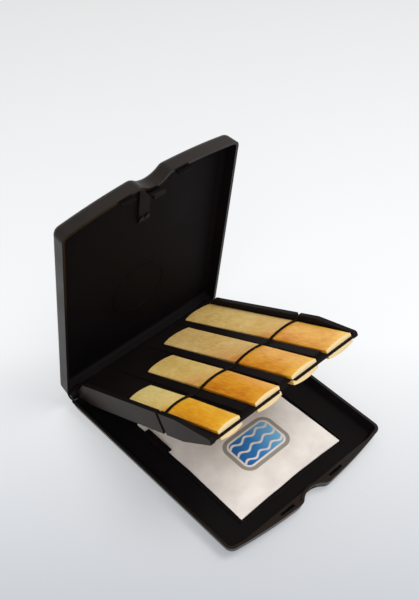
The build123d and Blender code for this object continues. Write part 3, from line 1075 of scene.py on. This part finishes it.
@dataclass(frozen=True)
class ReedShape:
    """A reed's outline and heights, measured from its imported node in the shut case's frame."""

    centre: float
    half_width: float
    tip: float
    heel: float
    flat: float
    tilt: float
    thickness: float
    edge: float = 1.5 * MM
    tip_thickness: float = 0.35 * MM
    heel_share: float = 0.9
    tip_share: float = 0.15
    thinnest: float = 0.9
    shoulder: float = 77.6 * MM
    arch: float = 2.6 * MM
    step: float = 0.12 * MM
    step_length: float = 1.2 * MM
    middle: ClassVar[float] = 1.2 * MM
    slack: ClassVar[float] = 0.6 * MM

    @classmethod
    def measure(cls, node: Piece, hinge: HingeFrame) -> "ReedShape":
        """Reads a reed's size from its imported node.

        Args:
            node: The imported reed.
            hinge: The hinge's frame.

        Returns:
            The reed's shape, in metres.
        """
        back = hinge.matrix(Opening.TRAY).inverted()
        corners = [back @ vertex.co for vertex in node.data.vertices]
        xs, ys, zs = ([corner[i] for corner in corners] for i in range(3))
        side = 1 if max(zs) + min(zs) > 2 * cls.middle else -1
        heel = [side * z for y, z in zip(ys, zs) if y < min(ys) + cls.slack]
        tip = [side * z for y, z in zip(ys, zs) if y > max(ys) - cls.slack]
        tilt = atan2(min(tip) - min(heel), max(ys) - min(ys))
        return cls(
            centre=(min(xs) + max(xs)) / 2,
            half_width=(max(xs) - min(xs)) / 2,
            tip=-max(ys),
            heel=-min(ys),
            flat=side * min(heel),
            tilt=side * tilt,
            thickness=max(heel) - min(heel),
        )

    def seat_matrix(self) -> Matrix:
        """The shift and slight tilt that lay the reed, drawn on its flat face, on the tray's plate."""
        lean = Matrix.Rotation(self.tilt, 4, "X")
        return Matrix.Translation((self.centre, -self.heel, self.flat)) @ lean

    def half_width_at(self, along: float) -> float:
        """Half the reed's width: round at the tip, tapered to the heel.

        Args:
            along: Distance from the hinge.

        Returns:
            Half the width, in metres.
        """
        width = 2 * self.half_width
        sagitta = width * self.tip_share
        radius = (self.half_width ** 2 + sagitta ** 2) / (2 * sagitta)
        inside = along - self.tip
        if inside < sagitta:
            return sqrt(max(radius ** 2 - (radius - inside) ** 2, 0.0))
        taper = (inside - sagitta) / (self.heel - self.tip - sagitta)
        return self.half_width * (1 - taper * (1 - self.heel_share))

    def height_at(self, share: float, along: float) -> float:
        """The back's height over the flat face: round bark, a small step, then the planed vamp.

        Args:
            share: Place across the reed, from -1 to 1.
            along: Distance from the hinge.

        Returns:
            The height, in metres.
        """
        bark = self.edge + (self.thickness - self.edge) * (1 - share ** 2)
        shoulder = self.shoulder - self.arch * share ** 2
        depth = shoulder - along
        if depth <= 0:
            return bark
        fall = min(depth / (shoulder - self.tip), 1.0)
        planed = bark * (1 - fall) + self.tip_thickness * fall
        step = self.step * min(depth / self.step_length, 1.0) * (1 - fall)
        return max(planed - step, self.tip_thickness * self.thinnest)


@dataclass
class Reeds:
    """Eight cane reeds, four on each face of the tray, each shape modelled once and copied."""

    frame: Mapping
    hinge: HingeFrame
    lanes: int = 4
    columns: int = 20
    rows: int = 64
    tip_rows: int = 12
    tip_start: float = 0.012
    chamfer: float = 0.12 * MM
    chamfer_from: float = 50.0
    sawn_from: float = 0.5

    def tones(self, shape: ReedShape, lane: int) -> Cane:
        """The cane's colours in a lane: the left reed is the palest, the others are riper.

        Args:
            shape: The reed's shape, which places its bark.
            lane: The lane, counted from the left.

        Returns:
            The reed's finish.
        """
        colours = (
            ("#f2dd96", "#e0c36c", "#e0ab48", "#f6c446", "#eaa728", "#d68714"),
            ("#f0d488", "#deb255", "#cd7a24", "#f3b63e", "#e29827", "#bf6a12"),
            ("#eccd88", "#d5a552", "#c8701f", "#f7c150", "#e7a135", "#c67118"),
            ("#f0d28a", "#dbae55", "#d07f2a", "#fbcb62", "#ecaa42", "#cd7a1e"),
        )[lane]
        return Cane(
            f"cane_lane_{lane + 1}",
            Opening.TRAY,
            *colours,
            centre_mm=shape.centre / MM,
            half_width_mm=shape.half_width / MM,
            shoulder_mm=shape.shoulder / MM,
            arch_mm=shape.arch / MM,
            heel_mm=shape.heel / MM,
        )

    def blank(self, shape: ReedShape, name: str) -> Piece:
        """Models a reed on its flat face: a grid laid to the outline, raised, then closed below.

        Args:
            shape: The reed's shape.
            name: The piece's name.

        Returns:
            The reed on its flat face at height zero, with its heel's middle at the origin.
        """
        rows = self.tip_rows + self.rows
        reed = new_grid(name, self.columns, rows)
        width = 2 * shape.half_width
        tip_end = shape.tip + width * shape.tip_share
        for vertex in reed.data.vertices:
            share = vertex.co.x
            row = round((1 - vertex.co.y) / 2 * rows)
            if row <= self.tip_rows:
                inside = 1 - (1 - self.tip_start) * cos(row / self.tip_rows * pi / 2)
                along = shape.tip + (tip_end - shape.tip) * inside
            else:
                along = tip_end + (shape.heel - tip_end) * (row - self.tip_rows) / self.rows
            half = shape.half_width_at(along)
            vertex.co = Vector((share * half, shape.heel - along, shape.height_at(share, along)))
        close_below(reed, 0.0)
        round_edges(reed, self.chamfer, self.chamfer_from)
        return reed

    def build(self) -> None:
        """Makes every reed and lays it in its lane, on the upper and the lower face."""
        sawn = SawnCane("sawn_cane", Opening.TRAY).build(self.hinge)
        turn = self.hinge.matrix(Opening.TRAY)
        for lane in range(self.lanes):
            upper = ReedShape.measure(self.frame["nodes"][f"upper_reed_{lane + 1}"], self.hinge)
            lower = ReedShape.measure(self.frame["nodes"][f"lower_reed_{lane + 1}"], self.hinge)
            cane = self.tones(upper, lane).build(self.hinge)
            blank = self.blank(upper, f"upper_cane_{lane + 1}")
            for polygon in blank.data.polygons:
                lowest = min(polygon.normal.y, polygon.normal.z)
                polygon.material_index = 1 if lowest < -self.sawn_from else 0
            twin = blank.copy()
            twin.data = blank.data.copy()
            twin.name = f"lower_cane_{lane + 1}"
            bpy.context.scene.collection.objects.link(twin)
            seat(blank, turn @ upper.seat_matrix())
            seat(twin, turn @ lower.seat_matrix() @ Matrix.Scale(-1, 4, (0, 0, 1)))
            twin.data.flip_normals()
            for piece, node in ((blank, f"upper_reed_{lane + 1}"), (twin, f"lower_reed_{lane + 1}")):
                marks = [polygon.material_index for polygon in piece.data.polygons]
                paint(piece, cane, sawn)
                piece.data.polygons.foreach_set("material_index", marks)
                smooth(piece, SMOOTH_TO)
                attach(piece, "tray")
                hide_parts(node)
                log.info("%s: %d faces", piece.name, len(piece.data.polygons))


@dataclass
class RetainingBand:
    """The elastic loop over the reeds' backs, rounded as braid is."""

    frame: Mapping
    hinge: HingeFrame
    edge: float = 0.22 * MM

    def build(self) -> None:
        """Replaces the plain loop by a rounded one."""
        band = softened_copy(self.frame["nodes"]["retaining_band"], "elastic_loop", self.edge)
        paint(band, BraidedElastic("braided_elastic", Opening.TRAY).build(self.hinge))
        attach(band, "tray")
        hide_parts("retaining_band")
        log.info("%s: %d faces", band.name, len(band.data.polygons))


@dataclass
class HumidityPouch:
    """The soft pouch in the base: two films sealed at the edges over a thin layer of gel."""

    hinge: HingeFrame
    columns: int = 66
    rows: int = 75
    seal: float = 3.6 * MM
    film: float = 0.3 * MM
    crown: float = 1.5 * MM
    waist: float = 0.7 * MM
    ripple: float = 0.3 * MM
    side_waves: ClassVar[tuple[float, ...]] = (9.0, 1.7, 4.0)
    end_waves: ClassVar[tuple[float, ...]] = (8.0, 0.4, 3.0)
    seal_waves: ClassVar[tuple[float, ...]] = (7.0, 5.0)
    rim_power: int = 12
    enlarged: float = 10.0
    steps: int = 20
    swell: float = 3.0
    least_rise: float = 0.01 * MM
    slope: float = 8.0 * MM
    sink: float = 0.4

    def wave(self, place: float, quick: float, shift: float, slow: float) -> float:
        """How far an edge draws in at a place from -1 to 1 along it, as two waves of unlike length."""
        return self.ripple * (0.5 + 0.5 * sin(quick * place + shift) * cos(slow * place))

    def sheet(self, low: Vector, high: Vector) -> Piece:
        """Cuts the upper film: a grid whose edges draw in between the corners and ripple a little.

        Args:
            low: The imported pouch's lowest corner.
            high: Its highest corner.

        Returns:
            The film, flat but for the ripples in its seal.
        """
        film = new_grid("humidity_pouch", self.columns, self.rows)
        middle = (low + high) / 2
        half_x = (high.x - low.x) / 2
        half_y = (high.y - low.y) / 2
        for vertex in film.data.vertices:
            across, along = vertex.co.x, vertex.co.y
            side = self.waist + self.wave(along, *self.side_waves)
            end = self.waist + self.wave(across, *self.end_waves)
            x = across * (half_x - side * (1 - along ** 2))
            y = along * (half_y - end * (1 - across ** 2))
            rim = max(abs(across), abs(along)) ** self.rim_power
            turn = self.seal_waves[0] * along + self.seal_waves[1] * across
            lift = self.ripple * rim * (0.5 + 0.5 * sin(turn))
            vertex.co = Vector((middle.x + x, middle.y + y, low.z + self.film + lift))
        return film

    def billow(self, film: Piece, low: Vector, high: Vector) -> None:
        """Lets the gel push the film up between its seals, as cloth under pressure, ten times enlarged.

        Args:
            film: The upper film.
            low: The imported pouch's lowest corner.
            high: Its highest corner.
        """
        heights = [vertex.co.z for vertex in film.data.vertices]
        held = []
        for vertex in film.data.vertices:
            from_low, from_high = vertex.co - low, high - vertex.co
            if min(*from_low.xy, *from_high.xy) < self.seal:
                held.append(vertex.index)
        film.vertex_groups.new(name="seal").add(held, 1.0, "REPLACE")
        film.data.transform(Matrix.Scale(self.enlarged, 4))
        cloth = film.modifiers.new("billow", "CLOTH")
        settings = cloth.settings
        settings.quality = 8
        settings.mass = 0.2
        settings.tension_stiffness = 20.0
        settings.compression_stiffness = 12.0
        settings.shear_stiffness = 6.0
        settings.bending_stiffness = 0.4
        settings.shrink_min = -0.01
        settings.use_pressure = True
        settings.uniform_pressure_force = self.swell
        settings.vertex_group_mass = "seal"
        settings.pin_stiffness = 1.0
        settings.effector_weights.gravity = 0.0
        for step in range(1, self.steps + 1):
            bpy.context.scene.frame_set(step)
        apply_modifiers(film)
        film.vertex_groups.clear()
        film.data.transform(Matrix.Scale(1 / self.enlarged, 4))
        rises = [vertex.co.z - height for vertex, height in zip(film.data.vertices, heights)]
        share = min(1.0, self.crown / max(*rises, self.least_rise))
        for vertex, height, rise in zip(film.data.vertices, heights, rises):
            vertex.co.z = height + max(rise, 0.0) * share
        log.info("pouch film rose %.2f mm, kept %.0f %%", max(rises) / MM, 100 * share)

    def build(self) -> None:
        """Makes the pouch and lays it on the base's floor."""
        low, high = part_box("humidity_pack")
        pouch = self.sheet(low, high)
        self.billow(pouch, low, high)
        finer = pouch.modifiers.new("finer", "SUBSURF")
        finer.levels = finer.render_levels = 1
        apply_modifiers(pouch)
        close_below(pouch, low.z)
        smooth(pouch, SHARP_FROM)
        paint(pouch, PouchFilm("coated_pouch_film", Opening.BASE).build(self.hinge))
        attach(pouch, "base")
        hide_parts("humidity_pack")
        log.info("%s: %d faces", pouch.name, len(pouch.data.polygons))


@dataclass
class Hardware:
    """The steel pins and rivets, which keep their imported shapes."""

    frame: Mapping
    hinge: HingeFrame
    smooth_to: float = 35.0

    def build(self) -> None:
        """Gives each metal piece its finish."""
        pins = DrawnSteel("drawn_steel", Opening.BASE).build(self.hinge)
        blacked = DrawnSteel("blacked_rivet_steel", Opening.LID, colour="#2a292b", line_mm=0.3)
        rivets = blacked.build(self.hinge)
        metals = {"hinge_pin_left": pins, "hinge_pin_right": pins, "spring_rivets": rivets}
        for node, material in metals.items():
            piece = self.frame["nodes"][node]
            paint(piece, material)
            smooth(piece, self.smooth_to)
            log.info("%s: finished", node)


def corners() -> list[list[float]]:
    """The object's box as two lists of numbers."""
    return [[float(value) for value in corner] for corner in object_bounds()]


def main() -> None:
    """Builds the case's pieces in order, then the studio."""
    logging.basicConfig(level=logging.INFO, format="%(message)s")
    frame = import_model()
    hinge = HingeFrame.from_joints(frame["joints"])
    Studio().build()
    Plastics(frame, hinge).build()
    Reeds(frame, hinge).build()
    RetainingBand(frame, hinge).build()
    HumidityPouch(hinge).build()
    Hardware(frame, hinge).build()


if __name__ == "__main__":
    main()
